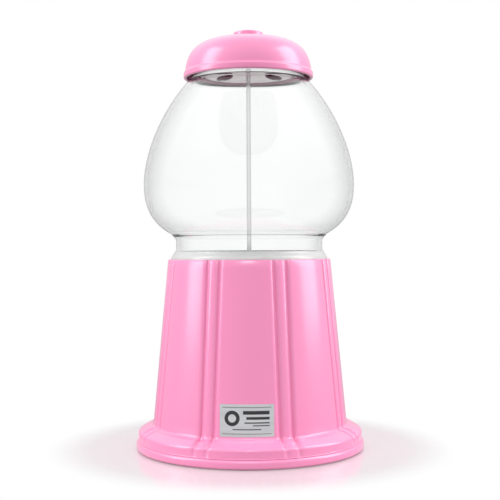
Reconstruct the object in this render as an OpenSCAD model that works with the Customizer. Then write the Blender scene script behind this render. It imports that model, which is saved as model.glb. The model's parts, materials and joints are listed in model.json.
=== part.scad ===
// Gumball machine: a fluted cast base with a coin mechanism and chute, a glass globe and a
// locking lid, held together by one centre rod. The coin side faces -Y and the label side +Y.

/* [Overall] */
// Height from the feet to the top of the lid boss
total_h = 381; // [380:0.5:383]
// Radius of the widest tier of the foot
foot_r = 104.2; // [103.5:0.1:105]
// Gap between the casting's rim and the surface it stands on
rim_gap = 1; // [0.6:0.1:1.4]

/* [Body casting] */
// Outer radius of the body just above the foot
body_low_r = 88.5; // [88:0.1:89]
// Outer radius of the body at its top edge
body_top_r = 74.5; // [74:0.1:75]
// Height at which the body rises from the foot
body_low_z = 24; // [23.5:0.5:24.5]
// Height of the body's top deck
body_top_z = 172.5; // [172:0.5:173]
// Wall thickness of the casting
wall = 5; // [4.5:0.1:5.5]
// Number of flutes round the body
flutes = 8; // [8:1:8]
// Width of a flute, which is a pair of grooves with a bead between them
flute_w = 14.8; // [14.4:0.2:15.6]
// Depth of a flute
flute_d = 2.5; // [2:0.1:2.8]
// Width of the bead down the middle of a flute
bead_w = 8; // [7.6:0.2:8.4]

/* [Front boss] */
// Half width of the flat boss that carries the mechanism
boss_x = 35; // [34:0.5:36]
// Distance of the boss's face in front of the axis
face_y = 87; // [87:0.5:88]
// Bottom of the boss
boss_low_z = 42; // [41:0.5:43]
// Top of the boss
boss_top_z = 152; // [152:0.5:154]

/* [Globe] */
// Largest radius of the globe
globe_r = 96.4; // [96:0.1:96.8]
// Height of the largest radius
globe_mid_z = 240; // [239:0.5:241]
// Outer radius of the collar at the bottom of the globe
collar_r = 67.2; // [67:0.1:67.3]
// Glass thickness
glass = 3; // [2.5:0.1:3.2]

/* [Mechanism] */
// Height of the handle's axis
shaft_z = 112; // [111.5:0.5:112.5]
// Radius of the handle's shaft
shaft_r = 3; // [2.9:0.05:3.05]
// Radial running clearance of a shaft in its hole
run = 0.05; // [0.03:0.01:0.08]
// Teeth on the small gear
gear_teeth = 8; // [8:1:8]
// Teeth under the candy wheel
crown_teeth = 48; // [48:1:48]
// Pockets in the candy wheel
pockets = 6; // [6:1:6]
// Diameter of a pocket
pocket_d = 24; // [22:1:25]

/* [Label] */
// Width of the label on the rear panel
label_w = 45.8; // [44:0.2:48]
// Height of the label
label_h = 27; // [26:0.5:28]
// Bottom of the label
label_z = 24.8; // [24.5:0.1:26]

/* [Hidden] */
$fn = 96;
far = 130;                  // reach of a cutter past the outside of the machine
handle_reach = 23.8;        // how far the handle stands in front of the boss's face
axis_y = (face_y + handle_reach - foot_r) / 2; // puts the whole box's centre on the origin
body_slope = (body_low_r - body_top_r) / (body_top_z - body_low_z);
body_tilt = atan(body_slope);
tier_z = 8.6;               // top of the foot's widest tier
tier_groove = 1.2;          // depth of a flute where it runs down over the foot
fillet_r = 3;               // hollow between the foot and the body
rod_r = 2.5;
rod_top_z = total_h - 9;
plate_low_z = 8;            // underside of the base plate
plate_top_z = 10;
seat_z = 176;               // the globe's collar stands here
globe_top_z = 340;          // rim of the globe's mouth
mouth_r = 50.4;
lid_z = 338.2;              // rim of the lid
lid_r = 59.6;
dome_z = total_h - 5.5;     // crown of the dome, under the boss
liner_z = 341.2;            // edge of the pressed plate in the lid
crown_tip_z = shaft_z + 6.5;
wheel_z = shaft_z + 9.8;    // underside of the candy wheel
wheel_h = 15.2;
wheel_r = 54;
crown_r = 48;               // pitch radius of the crown teeth
crown_face = 5;             // length of a crown tooth
pocket_r = 30;              // radius of the circle of pocket centres
outlet_a = -30;             // direction of the outlet from the axis
sleeve_r = 4.5;
stack_z = wheel_z + wheel_h + 13.4; // top of the agitator's spacer
carrier_r = 28.8;           // coin disc
coin_r = 12.4;              // pocket for a coin
coin_c = 16.7;              // distance of a seated coin's centre from the handle's axis
plate_x = 32;               // half width of the coin plate
plate_lo = shaft_z - 36;
plate_hi = shaft_z + 38;
plate_face_y = face_y + 7;
pin_y = face_y + 4.7;       // hinge pin of the chute door
pin_z = 72.8;

function bezier(a, b, c, d, n) = [for (i = [0:n])
  let (t = i / n, s = 1 - t) s * s * s * a + 3 * s * s * t * b + 3 * s * t * t * c + t * t * t * d];
function arc(c, r, a0, a1, n) = [for (i = [0:n])
  let (a = a0 + (a1 - a0) * i / n) [c[0] + r * cos(a), c[1] + r * sin(a)]];
function body_r(z) = body_low_r - body_slope * (z - body_low_z);

// The casting's outline from the rim up, moved inwards by d at the foot and e at the body
function foot_outline(d, e) = concat(
  arc([foot_r - 1.2 - d, rim_gap + 1.2], 1.2, -90, 0, 3),
  arc([foot_r - 3.3 - d, tier_z - 3.3], 3.3, 0, 75, 5),
  [[foot_r - 2.3 - d, tier_z + 0.1]],
  arc([foot_r - 5.1 - d, 14.6], 3.2, 0, 76, 6),
  [[foot_r - 11 - d, 21.7]],
  arc([body_r(body_low_z + 0.8) + fillet_r - e, body_low_z + 0.8], fillet_r, -95, -176, 5));
function body_outline(d, e) = concat(foot_outline(d, e),
  arc([body_top_r - 1.2 - e, body_top_z - 1.2], 1.2, body_tilt, 90, 3));

// Every node is drawn about the machine's axis, then set back with it
module placed() {
  translate([0, axis_y, 0]) children();
}
module revolved(points) {
  rotate_extrude() polygon(points);
}
module at_angles(angles, r) {
  for (a = angles) rotate([0, 0, a]) translate([r, 0, 0]) children();
}
// A plate in the XZ plane with round corners, from y0 towards -Y
module front_plate(x, z0, z1, y0, t, r) {
  translate([0, -y0, 0]) rotate([90, 0, 0]) linear_extrude(t) union() {
    translate([-x + r, z0]) square([2 * (x - r), z1 - z0]);
    translate([-x, z0 + r]) square([2 * x, z1 - z0 - 2 * r]);
    for (sx = [-1, 1], z = [z0 + r, z1 - r]) translate([sx * (x - r), z]) circle(r, $fn = 48);
  }
}
module front_box(x, z0, z1, y0, y1) {
  translate([-x, -y1, z0]) cube([2 * x, y1 - y0, z1 - z0]);
}
// A cylinder along -Y from y0 to y1
module front_pin(r, y0, y1, x = 0, z = shaft_z) {
  translate([x, -y0, z]) rotate([90, 0, 0]) cylinder(h = y1 - y0, r = r);
}
module pan_screw(r, head_r, head_h, l) {
  translate([0, 0, -l]) cylinder(h = l, r = r, $fn = 32);
  difference() {
    cylinder(h = head_h, r = head_r, $fn = 48);
    translate([-head_r, -0.35, head_h - 0.6]) cube([2 * head_r, 0.7, 1]);
  }
}

base_screw_a = [45, 135, 225, 315];
base_screw_r = 77;
mech_screw_x = 27.6;
mech_screw_z = [plate_lo + 4.5, plate_hi - 4.5];
frame_screw_x = 18.9;
frame_screw_z = 48.6;

module body_shell() {
  difference() {
    revolved(concat([[50, rim_gap]], body_outline(0, 0), [[50, body_top_z]]));
    difference() {
      at_angles([for (i = [0:flutes - 1]) (i + 0.5) * 360 / flutes], 60) for (s = [-1, 1])
        translate([0, s > 0 ? bead_w / 2 : -flute_w / 2, tier_z])
          cube([60, (flute_w - bead_w) / 2, body_top_z]);
      revolved(concat([[0, rim_gap]], body_outline(tier_groove, flute_d), [[0, body_top_z]]));
    }
  }
  front_plate(boss_x, boss_low_z, boss_top_z, 62, face_y - 62, 5);
}

module body() {
  color("hotpink") difference() {
    union() {
      difference() {
        body_shell();
        // cavity, the recess for the base plate and the hole for the hopper
        revolved([[0, 0], [97.5, 0], [97.5, plate_top_z], [92, plate_top_z], [84.5, 17],
          [body_low_r - wall, body_low_z], [body_r(168) - wall, 168], [63.2, 168],
          [63.2, body_top_z + 1], [0, body_top_z + 1]]);
        front_box(boss_x - wall, boss_low_z + wall, boss_top_z - wall, 40, face_y - 4);
      }
      // posts for the base plate's screws, each joined to the wall by a web
      at_angles(base_screw_a, base_screw_r) union() {
        translate([0, 0, plate_top_z]) cylinder(h = 14, r = 5);
        translate([3, -2, plate_top_z]) cube([8, 4, 12]);
      }
    }
    at_angles(base_screw_a, base_screw_r) translate([0, 0, plate_top_z - 1])
      cylinder(h = 10, r = 1.55, $fn = 32);
    front_box(25, 84, 140, face_y - 10, far);
    front_box(15.5, 50, 70, face_y - 10, far);
    for (x = [-1, 1], z = mech_screw_z) front_pin(1.55, face_y - 10, far, x * mech_screw_x, z);
    for (x = [-1, 1]) front_pin(1.05, face_y - 10, far, x * frame_screw_x, frame_screw_z);
  }
}

module base_plate() {
  color("silver") difference() {
    translate([0, 0, plate_low_z]) cylinder(h = plate_top_z - plate_low_z, r = 97.2);
    translate([0, 0, plate_low_z - 1]) cylinder(h = 4, r = rod_r + 0.1);
    translate([0, 45, plate_low_z - 1]) cylinder(h = 4, r = 17);
    at_angles(base_screw_a, base_screw_r) translate([0, 0, plate_low_z - 1])
      cylinder(h = 4, r = 1.7, $fn = 32);
  }
}

module coin_bank_plug() {
  color("dimgray") translate([0, 45, 0]) revolved([[0, 5.6], [19.5, 5.6], [20, 6.1],
    [20, 7.6], [19.6, plate_low_z - 0.1], [16.8, plate_low_z - 0.1], [16.8, plate_top_z + 0.4],
    [16.4, plate_top_z + 1.6], [14, plate_top_z + 2.4], [13.4, 8], [0, 8]]);
}

module rubber_feet() {
  color("dimgray") at_angles([0, 90, 180, 270], 85) revolved([[0, 0], [6.4, 0], [7, 0.6],
    [7.6, 6], [7.6, plate_low_z], [0, plate_low_z]]);
}

module base_screws() {
  color("gainsboro") at_angles(base_screw_a, base_screw_r) translate([0, 0, plate_low_z])
    rotate([180, 0, 0]) pan_screw(1.5, 3, 1.8, 9);
}

module rod_washer() {
  color("silver") translate([0, 0, plate_low_z - 1.2]) difference() {
    cylinder(h = 1.2, r = 8);
    translate([0, 0, -1]) cylinder(h = 4, r = rod_r + 0.1);
  }
}

module rod_nut() {
  color("silver") translate([0, 0, plate_low_z - 5.4]) difference() {
    cylinder(h = 4.2, r = 5.2, $fn = 6);
    translate([0, 0, -1]) cylinder(h = 7, r = rod_r + 0.02);
  }
}

module center_rod() {
  color("gainsboro") translate([0, 0, 1.8]) cylinder(h = rod_top_z - 1.8, r = rod_r);
}

module rear_label() {
  // a thin foil that lies on the cone between two flutes
  color("lightgray") intersection() {
    difference() {
      revolved([[40, label_z], [body_r(label_z) + 0.35, label_z],
        [body_r(label_z + label_h) + 0.35, label_z + label_h], [40, label_z + label_h]]);
      revolved([[0, label_z - 1], [body_r(label_z - 1) + 0.1, label_z - 1],
        [body_r(label_z + label_h + 1) + 0.1, label_z + label_h + 1],
        [0, label_z + label_h + 1]]);
    }
    translate([-label_w / 2, 60, label_z]) cube([label_w, 50, label_h]);
  }
}

// The globe's outline from the collar up; each Bezier keeps the bulge smooth
function globe_outline() = concat(
  [[collar_r, seat_z]],
  arc([collar_r + 5.4, 188.6], 5.4, 180, 120, 3),
  bezier([collar_r + 4.4, 195.4], [90.2, 205.6], [globe_r, 221], [globe_r, globe_mid_z], 12),
  tail(bezier([globe_r, globe_mid_z], [globe_r, 270.7], [79.2, 308.9], [55.9, 335], 16)),
  [[mouth_r + 0.6, globe_top_z - 1.4], [mouth_r - 0.4, globe_top_z]]);
function inset(p, d) = [for (i = [0:len(p) - 1])
  let (a = p[max(i - 1, 0)], b = p[min(i + 1, len(p) - 1)], t = (b - a) / norm(b - a))
  p[i] + d * [-t[1], t[0]]];
function tail(p) = [for (i = [1:len(p) - 1]) p[i]];
function reversed(p) = [for (i = [len(p) - 1:-1:0]) p[i]];

module globe() {
  outer = globe_outline();
  color([0.9, 0.95, 1, 0.3]) revolved(concat(outer, reversed(inset(
    [for (p = outer) if (p[1] > seat_z + 1 && p[1] < globe_top_z - 2) p], glass)),
    [[collar_r - glass, seat_z]]));
}

module globe_gasket() {
  color("whitesmoke") translate([0, 0, seat_z - 1]) difference() {
    cylinder(h = 1, r = collar_r);
    translate([0, 0, -1]) cylinder(h = 3, r = collar_r - glass - 1.4);
  }
}

lid_wall = 2.6;
liner_post_a = [0, 90, 180, 270];
liner_post_r = 44.4;
function dome(d) = bezier([0, dome_z - d], [38, dome_z - d], [55.1 - d, 371.5 - d / 2],
  [58.1 - d, 345.5], 16);

module lid_cap() {
  color("hotpink") difference() {
    union() {
      difference() {
        revolved(concat(dome(0), [[58.3, 344.6]], arc([lid_r - 1.4, lid_z + 4.4], 1.4, 50, 0, 2),
          arc([lid_r - 1.4, lid_z + 1.4], 1.4, 0, -90, 2), [[0, lid_z]]));
        revolved(concat(dome(lid_wall), [[55.2, 345], [56.6, lid_z + 3.6], [56.6, lid_z - 1],
          [0, lid_z - 1]]));
      }
      revolved([[0, dome_z - 2], [15.6, dome_z - 2], [15.6, dome_z - 0.6], [14.2, dome_z + 0.1],
        [13.6, dome_z + 1], [13.6, total_h - 0.9], [12.7, total_h], [0, total_h]]);
      // four posts that carry the liner
      at_angles(liner_post_a, liner_post_r) translate([0, 0, liner_z + 1.4])
        cylinder(h = 24.2, r = 2.6);
    }
    at_angles(liner_post_a, liner_post_r) translate([0, 0, liner_z])
      cylinder(h = 9, r = 1.3, $fn = 32);
    translate([0, 0, 360]) cylinder(h = 30, r = 9.52);
  }
}

module lid_liner() {
  color("gainsboro") difference() {
    revolved([[rod_r + 1.5, liner_z + 9.6], [9, liner_z + 9.6], [41.5, liner_z],
      [47.6, liner_z], [48, liner_z + 0.4], [48, liner_z + 1.4], [41.8, liner_z + 1.4],
      [9.2, liner_z + 11], [rod_r + 1.5, liner_z + 11]]);
    at_angles([45, 135, 225, 315], 33) translate([0, 0, liner_z - 5]) cylinder(h = 30, r = 8);
    at_angles(liner_post_a, liner_post_r) translate([0, 0, liner_z - 5]) cylinder(h = 30, r = 1.4);
  }
}

module lid_gasket() {
  color("whitesmoke") translate([0, 0, globe_top_z]) difference() {
    cylinder(h = liner_z - globe_top_z, r = 51.5);
    translate([0, 0, -1]) cylinder(h = 4, r = 46.8);
  }
}

module liner_screws() {
  color("gainsboro") at_angles(liner_post_a, liner_post_r) translate([0, 0, liner_z])
    rotate([180, 0, 0]) pan_screw(1.25, 2.3, 1.1, 7);
}

module lock_collar() {
  color("silver") revolved([[7.2, 362], [9.5, 362], [9.5, total_h - 0.6],
    [9.1, total_h - 0.2], [7.2, total_h - 0.2]]);
}

module lock_plug() {
  color("gold") difference() {
    union() {
      translate([0, 0, 360]) cylinder(h = total_h - 0.6 - 360, r = 7.14);
      translate([0, 0, 358]) cylinder(h = 2, r = 9);
    }
    translate([0, 0, 350]) cylinder(h = rod_top_z - 350 + 1, r = rod_r + run);
    translate([-0.8, -4.2, total_h - 4.6]) cube([1.6, 8.4, 6]);
    translate([0, 0, total_h - 4.6]) cylinder(h = 6, r = 1.9, $fn = 32);
  }
}

hopper_floor_z = shaft_z + 3.3;
spout_z = shaft_z - 4;
spout_r = 14.6;
outlet_r = pocket_d / 2 + 0.6;
module at_outlet() {
  rotate([0, 0, outlet_a]) translate([pocket_r, 0, 0]) children();
}
module hopper() {
  color([0.96, 0.96, 0.94, 0.8]) difference() {
    // seat for the globe, funnel, wheel well, and a ledge that carries the floor
    revolved([[collar_r + 0.3, 179.4], [collar_r + 0.7, 180], [collar_r + 1.2, 179.9],
      [70.4, 176.6], [71.8, 174.2], [71.8, body_top_z], [62.8, body_top_z], [62.8, 166],
      [57.5, 150], [57.5, hopper_floor_z], [36.6, hopper_floor_z], [36.6, wheel_z - 4.2],
      [39, wheel_z - 4.2], [39, wheel_z - 0.5], [43.6, wheel_z - 0.5],
      [43.6, crown_tip_z - 1.2], [55, crown_tip_z - 1.2], [55, 150], [60, 166],
      [60.6, 173], [62, seat_z - 1], [collar_r + 0.3, seat_z - 1]]);
    at_outlet() translate([0, 0, spout_z - 1]) cylinder(h = 30, r = outlet_r);
    at_outlet() translate([0, 0, spout_z - 1])
      cylinder(h = wheel_z - 1.98 - spout_z + 1, r = spout_r + 0.05);
    // the window through which the small gear reaches the crown
    front_box(10.8, 105, wheel_z + 1, 42.5, 54.4);
  }
}

module wheel_floor() {
  color([0.93, 0.93, 0.92]) difference() {
    union() {
      revolved([[sleeve_r + 0.02, wheel_z - 4.2], [38.95, wheel_z - 4.2],
        [38.95, wheel_z - 0.5], [16, wheel_z - 0.5], [15.5, wheel_z - 0.05],
        [sleeve_r + 0.02, wheel_z - 0.05]]);
      at_outlet() translate([0, 0, spout_z]) cylinder(h = wheel_z - 2 - spout_z, r = spout_r);
    }
    at_outlet() translate([0, 0, spout_z - 1]) cylinder(h = 30, r = outlet_r);
  }
}

module hub_sleeve() {
  color("silver") translate([0, 0, wheel_z - 4.2]) difference() {
    cylinder(h = stack_z + 0.2 - wheel_z + 4.2, r = sleeve_r);
    translate([0, 0, -1]) cylinder(h = 60, r = rod_r + 0.02);
  }
}

module candy_wheel() {
  tooth = [[-1.6, 0.4], [-1.6, 0], [-1.15, -1.8], [-0.6, -3.3], [0.6, -3.3], [1.15, -1.8],
    [1.6, 0], [1.6, 0.4]];
  color("ivory") difference() {
    union() {
      translate([0, 0, wheel_z]) cylinder(h = wheel_h, r = wheel_r);
      at_angles([for (i = [0:crown_teeth - 1]) 90 + (i + 0.5) * 360 / crown_teeth],
        crown_r - crown_face / 2) translate([0, 0, wheel_z]) rotate([90, 0, 90])
          linear_extrude(crown_face) polygon(tooth);
    }
    translate([0, 0, wheel_z - 1]) cylinder(h = 40, r = sleeve_r + run);
    at_angles([for (i = [0:pockets - 1]) outlet_a + i * 360 / pockets], pocket_r)
      translate([0, 0, wheel_z - 5]) cylinder(h = 40, r = pocket_d / 2);
  }
}

module agitator() {
  color("ivory") translate([0, 0, wheel_z + wheel_h]) difference() {
    union() {
      cylinder(h = 13.2, r = 8);
      for (i = [0:2]) rotate([0, 0, i * 120]) translate([0, -1.2, 0]) cube([14.5, 2.4, 11]);
    }
    translate([0, 0, -1]) cylinder(h = 40, r = sleeve_r + run);
  }
}

module wheel_washer() {
  color("silver") translate([0, 0, stack_z + 0.2]) difference() {
    cylinder(h = 1.2, r = 8);
    translate([0, 0, -1]) cylinder(h = 4, r = rod_r + 0.1);
  }
}

module wheel_nut() {
  color("silver") translate([0, 0, stack_z + 1.4]) difference() {
    cylinder(h = 4, r = 5, $fn = 6);
    translate([0, 0, -1]) cylinder(h = 7, r = rod_r + 0.02);
  }
}

module wheel_cover() {
  // keeps the candy above from falling through the pocket over the outlet
  color("ivory") translate([0, 0, wheel_z + wheel_h + 1.2]) intersection() {
    cylinder(h = 12, r = 54.9);
    rotate([0, 0, outlet_a]) union() {
      translate([16.5, -15, 0]) cube([45, 30, 2.4]);
      translate([52.4, -15, 0]) cube([10, 30, 12]);
    }
  }
}

module shaft_bracket() {
  // hangs under the hopper and carries the inner end of the shaft
  color("silver") difference() {
    union() {
      front_box(9, shaft_z - 7, wheel_z - 4.25, 31, 35);
      front_box(9, wheel_z - 6.2, wheel_z - 4.25, 22, 35);
    }
    front_pin(shaft_r + run, 20, 50);
  }
}

module coin_plate() {
  color("gainsboro") difference() {
    union() {
      front_plate(plate_x, plate_lo, plate_hi, face_y, 5.6, 5);
      front_pin(24, face_y + 5.6, plate_face_y);
      front_plate(17, plate_hi - 13, plate_hi, face_y + 5.6, 4.4, 4);
    }
    // round pocket for the coin disc, the coin's way in from the top and its way out below
    front_pin(carrier_r + 0.4, face_y - 1, face_y + 4.2);
    front_box(coin_r + 0.4, shaft_z, plate_hi + 1, face_y + 1.2, face_y + 4.2);
    front_box(coin_r + 0.6, plate_lo + 5, shaft_z - 20, face_y - 1, face_y + 4.2);
    front_pin(shaft_r + run, face_y - 1, far);
    for (x = [-1, 1], z = mech_screw_z) front_pin(1.55, face_y - 1, far, x * mech_screw_x, z);
  }
}

module mech_back_plate() {
  color("silver") difference() {
    front_box(24.8, 84.2, 139.8, face_y - 2, face_y);
    front_pin(5.02, face_y - 5, face_y + 5);
    front_box(coin_r + 0.6, 80, shaft_z - 10, face_y - 5, face_y + 5);
  }
}

module mech_screws() {
  color("gainsboro") for (x = [-1, 1], z = mech_screw_z)
    translate([x * mech_screw_x, -face_y - 5.6, z]) rotate([90, 0, 0]) pan_screw(1.5, 2.9, 1.9, 12);
}

module shaft_bush() {
  color("goldenrod") difference() {
    union() {
      front_pin(5, face_y - 9, face_y - 0.1);
      front_pin(7, face_y - 5, face_y - 2);
    }
    front_pin(shaft_r + run, face_y - 12, face_y + 2);
  }
}

module handle_shaft() {
  color("silver") difference() {
    front_pin(shaft_r, 30, plate_face_y + 13);
    front_pin(1.3, plate_face_y + 3, plate_face_y + 14);
  }
}

module coin_handle() {
  y = plate_face_y + 0.4;
  color("gainsboro") difference() {
    union() {
      front_pin(13, y, y + 2.4);
      front_pin(8, y + 2.4, y + 7);
      front_box(5, shaft_z - 17, shaft_z + 17, y + 5, y + 14.6);
      for (s = [-1, 1]) front_pin(5, y + 5, y + 14.6, 0, shaft_z + s * 17);
      front_pin(6.6, y + 5, y + 14.6);
    }
    front_pin(shaft_r + 0.02, y - 1, plate_face_y + 13);
    front_pin(1.35, y, far);
  }
}

module handle_screw() {
  y = plate_face_y + 15;
  color("gainsboro") translate([0, -y, shaft_z]) rotate([90, 0, 0]) pan_screw(1.25, 2.8, 1.8, 11);
}

module coin_disc() {
  // carries one coin in its notch from the slot to the bank
  color("silver") difference() {
    front_pin(carrier_r, face_y + 0.3, face_y + 3.8);
    front_pin(coin_r, face_y - 1, face_y + 5, 0, shaft_z + coin_c);
    front_box(coin_r, shaft_z + coin_c, shaft_z + 40, face_y - 1, face_y + 5);
    front_pin(shaft_r + 0.02, face_y - 1, face_y + 5);
  }
}

module drive_gear() {
  tooth = [[-1.9, 5], [-1.9, 5.8], [-1.3, 8], [-0.6, 9.2], [0.6, 9.2], [1.3, 8], [1.9, 5.8],
    [1.9, 5]];
  color("goldenrod") difference() {
    union() {
      front_pin(5.8, 44, 54);
      translate([0, -44.5, shaft_z]) rotate([90, 0, 0]) for (i = [0:gear_teeth - 1])
        rotate([0, 0, i * 360 / gear_teeth]) linear_extrude(7) polygon(tooth);
    }
    front_pin(shaft_r + 0.02, 40, 60);
  }
}

ratchet_r = 14;
ratchet_y = 73.5;
ratchet_teeth = 8;
module ratchet_wheel() {
  step = 360 / ratchet_teeth;
  saw = [for (i = [0:ratchet_teeth - 1]) each [
    ratchet_r * [cos(i * step), sin(i * step)],
    0.82 * ratchet_r * [cos(i * step + 2), sin(i * step + 2)]]];
  color("silver") difference() {
    translate([0, -ratchet_y, shaft_z]) rotate([90, 0, 0]) linear_extrude(3.4) polygon(saw);
    front_pin(shaft_r + 0.02, 60, 90);
  }
}

pawl_at = [-21, shaft_z + 18];
module coin_pawl() {
  // the dog that stops the handle from turning back
  color("silver") difference() {
    union() {
      front_pin(2.8, ratchet_y + 0.2, ratchet_y + 3.2, pawl_at[0], pawl_at[1]);
      translate([pawl_at[0] - 1.6, -ratchet_y - 3.2, shaft_z - 3]) cube([2.6, 3, 19]);
      translate([pawl_at[0] - 1.6, -ratchet_y - 3.2, shaft_z - 3]) cube([8, 3, 3]);
    }
    front_pin(1.25, 60, 90, pawl_at[0], pawl_at[1]);
  }
}

module pawl_pin() {
  color("gainsboro") union() {
    front_pin(1.2, ratchet_y - 1.4, face_y - 2, pawl_at[0], pawl_at[1]);
    front_pin(2.2, ratchet_y - 1.4, ratchet_y - 0.2, pawl_at[0], pawl_at[1]);
  }
}

module pawl_spring() {
  // leaf spring behind the dog
  color("gainsboro") union() {
    translate([-26.2, -ratchet_y - 3.2, shaft_z - 4]) cube([0.5, 3, 22]);
    translate([-26.2, -(face_y - 4), shaft_z + 12]) cube([0.5, face_y - 4 - ratchet_y, 6]);
  }
}

chute_start = [pocket_r * cos(outlet_a), pocket_r * sin(outlet_a), 96];
chute_end = [0, -70, 62];
chute_run = norm([chute_end[0] - chute_start[0], chute_end[1] - chute_start[1]]);
chute_turn = atan2(chute_start[0] - chute_end[0], chute_start[1] - chute_end[1]);
chute_drop = atan2(chute_start[2] - chute_end[2], chute_run);
module chute_duct(w, h, grow) {
  translate(chute_end) rotate([0, 0, -chute_turn]) rotate([chute_drop, 0, 0])
    translate([-w / 2, -2 - grow, -h / 2])
      cube([w, 2 + norm([chute_run, chute_start[2] - chute_end[2]]) + 2 * grow, h]);
}
module chute() {
  color("silver") difference() {
    union() {
      chute_duct(30, 26, 4);
      translate([chute_start[0], chute_start[1], 84]) cylinder(h = shaft_z + 1.5 - 84, r = 17);
      front_box(15.2, 50.2, 74, 66, face_y - 4.1);
    }
    chute_duct(26, 22, 2);
    translate([chute_start[0], chute_start[1], 88]) cylinder(h = 40, r = 15.2);
    front_box(13.2, 52.2, 72, 66, far);
    front_box(30, 40, 120, face_y - 4.1, far); // the duct's corners stop behind the boss
  }
}

module chute_frame() {
  color("gainsboro") difference() {
    union() {
      front_plate(22, 45.6, 75.2, face_y, 2.5, 3);
      for (s = [-1, 1]) translate([s * 19.6 - 1.4, -face_y - 7, 69.6]) cube([2.8, 5, 5.6]);
    }
    front_box(15.3, 50.2, 69.8, face_y - 1, face_y + 3);
    translate([-30, -pin_y, pin_z]) rotate([0, 90, 0]) cylinder(h = 60, r = 1.22);
    for (x = [-1, 1]) front_pin(1.05, face_y - 1, far, x * frame_screw_x, frame_screw_z);
  }
}

module frame_screws() {
  color("gainsboro") for (x = [-1, 1]) translate([x * frame_screw_x, -face_y - 2.5, frame_screw_z])
    rotate([90, 0, 0]) pan_screw(1, 2, 1.2, 7);
}

module door_pin() {
  color("silver") translate([-21.4, -pin_y, pin_z]) rotate([0, 90, 0]) cylinder(h = 42.8, r = 1.2);
}

module chute_door() {
  color("gainsboro") difference() {
    union() {
      translate([-17.6, -pin_y, pin_z]) rotate([0, 90, 0]) cylinder(h = 35.2, r = 1.9);
      front_box(16.4, 48, pin_z - 1, pin_y - 0.7, pin_y + 0.7);
      translate([-16.4, -pin_y, 48]) rotate([0, 90, 0]) cylinder(h = 32.8, r = 1.3);
    }
    translate([-30, -pin_y, pin_z]) rotate([0, 90, 0]) cylinder(h = 60, r = 1.25);
  }
}

placed() body();
placed() base_plate();
placed() coin_bank_plug();
placed() rubber_feet();
placed() base_screws();
placed() rod_washer();
placed() rod_nut();
placed() center_rod();
placed() rear_label();
placed() globe();
placed() globe_gasket();
placed() lid_cap();
placed() lid_liner();
placed() lid_gasket();
placed() liner_screws();
placed() lock_collar();
placed() lock_plug();
placed() hopper();
placed() wheel_floor();
placed() hub_sleeve();
placed() candy_wheel();
placed() agitator();
placed() wheel_washer();
placed() wheel_nut();
placed() wheel_cover();
placed() shaft_bracket();
placed() coin_plate();
placed() mech_back_plate();
placed() mech_screws();
placed() shaft_bush();
placed() handle_shaft();
placed() coin_handle();
placed() handle_screw();
placed() coin_disc();
placed() drive_gear();
placed() ratchet_wheel();
placed() coin_pawl();
placed() pawl_pin();
placed() pawl_spring();
placed() chute();
placed() chute_frame();
placed() frame_screws();
placed() door_pin();
placed() chute_door();
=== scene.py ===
"""Looks for the gumball machine: a fluted cast base, a glass globe, a domed lid and the
coin mechanism on the far side. Dimensions are in mm unless they say otherwise. Pieces are made
about the machine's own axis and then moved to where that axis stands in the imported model."""
import json
import math

import bmesh
import bpy
from mathutils import Matrix, Vector


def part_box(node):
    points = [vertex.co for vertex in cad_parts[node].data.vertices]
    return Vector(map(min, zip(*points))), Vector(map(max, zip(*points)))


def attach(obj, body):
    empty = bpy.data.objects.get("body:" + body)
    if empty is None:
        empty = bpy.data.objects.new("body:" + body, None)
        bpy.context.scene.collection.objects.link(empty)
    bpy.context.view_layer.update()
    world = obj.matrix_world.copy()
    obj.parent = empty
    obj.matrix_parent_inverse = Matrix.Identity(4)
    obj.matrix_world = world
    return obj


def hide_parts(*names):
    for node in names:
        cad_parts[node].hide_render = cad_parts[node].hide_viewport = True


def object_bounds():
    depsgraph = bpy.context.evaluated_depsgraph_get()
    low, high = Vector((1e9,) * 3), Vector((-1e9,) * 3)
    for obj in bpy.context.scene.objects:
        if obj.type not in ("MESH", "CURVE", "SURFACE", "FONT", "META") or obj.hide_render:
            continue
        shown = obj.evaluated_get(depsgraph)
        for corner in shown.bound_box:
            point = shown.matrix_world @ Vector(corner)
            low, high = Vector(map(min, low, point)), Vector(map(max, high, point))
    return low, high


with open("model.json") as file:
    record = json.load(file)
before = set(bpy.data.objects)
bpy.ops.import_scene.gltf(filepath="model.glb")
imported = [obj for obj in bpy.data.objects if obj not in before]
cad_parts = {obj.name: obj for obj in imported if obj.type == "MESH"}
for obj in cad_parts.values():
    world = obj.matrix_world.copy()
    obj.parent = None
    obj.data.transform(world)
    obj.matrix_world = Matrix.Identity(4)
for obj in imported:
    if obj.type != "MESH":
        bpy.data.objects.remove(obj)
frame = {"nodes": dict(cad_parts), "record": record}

MM = 0.001
TAU = 2 * math.pi
cad_low, cad_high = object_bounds()
globe_low, globe_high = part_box("globe")
AXIS = Vector(((globe_low.x + globe_high.x) / 2, (globe_low.y + globe_high.y) / 2, 0))

# ---------------------------------------------------------------- driving dimensions, in mm
TOTAL_H = cad_high.z / MM
FOOT_R = 104.16
RIM_GAP = 1.0                # under the rim of the foot, which stands on rubber feet
TIER_Z = 8.6                 # top of the foot's widest tier
BODY_LOW = (88.5, 24.0)      # radius and height where the body leaves the foot
TIER_GROOVE = 1.5            # depth of a flute on the foot
BODY_TOP = (74.5, 172.5)
WALL = 5.0
FLUTES = 8
ACROSS_FLUTE, ACROSS_PANEL = 34, 14      # mesh steps across half a flute and across a panel
FLUTE_HALF = 10.4            # from the middle of a flute to the panel beside it
FLUTE_DEPTH = 2.15
BEAD_HALF = 4.8              # the raised bead in its middle
GROOVE_W = 2.0               # flat bottom of the groove on each side of the bead
BOSS_X, BOSS_LOW, BOSS_TOP = 35.0, 42.0, 152.0
FACE_Y = 87.0                # the front boss's face is at y = -FACE_Y
SHAFT_Z = 112.0              # height of the coin shaft
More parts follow.
